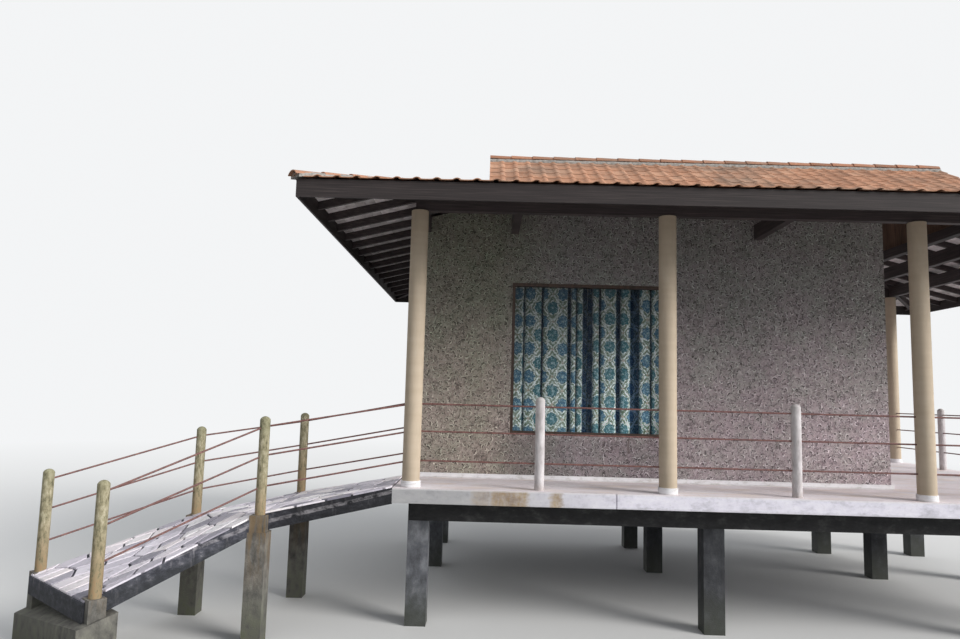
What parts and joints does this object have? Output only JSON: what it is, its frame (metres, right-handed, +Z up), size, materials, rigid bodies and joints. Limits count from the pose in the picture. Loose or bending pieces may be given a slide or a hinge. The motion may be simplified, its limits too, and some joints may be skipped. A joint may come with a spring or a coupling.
{
  "type": "stilt house",
  "caption": "House raised on concrete piers, with a walled room, railed veranda, tiled hip-and-gable roof on round columns and a sloping footbridge.",
  "frame": {"origin": "the middle of the foot of the second pier of the middle row, on the level ground that all the piers stand on", "axes": "+X to the right along the facade, +Y from the front to the back, +Z up"},
  "size_m": [14.3902, 9.1657, 6.6971],
  "materials": {
    "damp_concrete": "damp grey cast concrete with dark tide marks",
    "slab_concrete": "pale cement screed with brown stains on its edge",
    "white_plinth": "off-white painted cement",
    "wall_render": "rough-cast mauve-grey render",
    "dark_joinery": "dark brown varnish",
    "door_wood": "dark brown varnish",
    "window_glass": "clear",
    "curtain_cloth": "printed teal and blue medallions on cream",
    "curtain_rail": "dark brown paint",
    "column_paint": "cream-tan paint on round concrete columns",
    "post_paint": "weathered grey paint on round concrete posts",
    "bridge_post_concrete": "bare concrete with algae",
    "rail_paint": "reddish-brown paint on steel rod",
    "beam_wood": "dark stained timber",
    "fascia_wood": "near-black stained boards",
    "soffit_boards": "weathered pinkish-grey boards",
    "roof_tile": "faded terracotta",
    "cap_tile": "faded terracotta",
    "gable_wood": "brown stained boards",
    "bridge_paving": "grey slate slabs on a mossy concrete deck"
  },
  "bodies": {
    "root": {"piers": "damp_concrete", "long_beams": "damp_concrete", "cross_beams": "damp_concrete", "bridge_piers": "damp_concrete", "bridge_abutment": "damp_concrete", "deck_slab": "slab_concrete", "room_floor": "white_plinth", "column_rings": "white_plinth", "room_walls": "wall_render", "front_window_frame": "dark_joinery", "back_window_frame": "dark_joinery", "door_frame": "dark_joinery", "door_leaf": "door_wood", "front_window_glass": "window_glass", "back_window_glass": "window_glass", "front_curtains": "curtain_cloth", "back_curtains": "curtain_cloth", "curtain_rods": "curtain_rail", "columns": "column_paint", "rail_posts": "post_paint", "bridge_posts": "bridge_post_concrete", "front_rails": "rail_paint", "side_rails": "rail_paint", "back_rails": "rail_paint", "bridge_near_rails": "rail_paint", "bridge_far_rails": "rail_paint", "ring_beams": "beam_wood", "tie_beams": "beam_wood", "roof_studs": "beam_wood", "purlins": "beam_wood", "ridge_beam": "beam_wood", "hip_rafters": "beam_wood", "skirt_rafters": "beam_wood", "upper_rafters": "beam_wood", "fascias": "fascia_wood", "bargeboards": "fascia_wood", "skirt_boards": "soffit_boards", "upper_boards": "soffit_boards", "skirt_tiles": "roof_tile", "upper_tiles": "roof_tile", "ridge_cap": "cap_tile", "hip_caps": "cap_tile", "gable_boards": "gable_wood", "bridge_deck": "bridge_paving"}
  },
  "joints": []
}
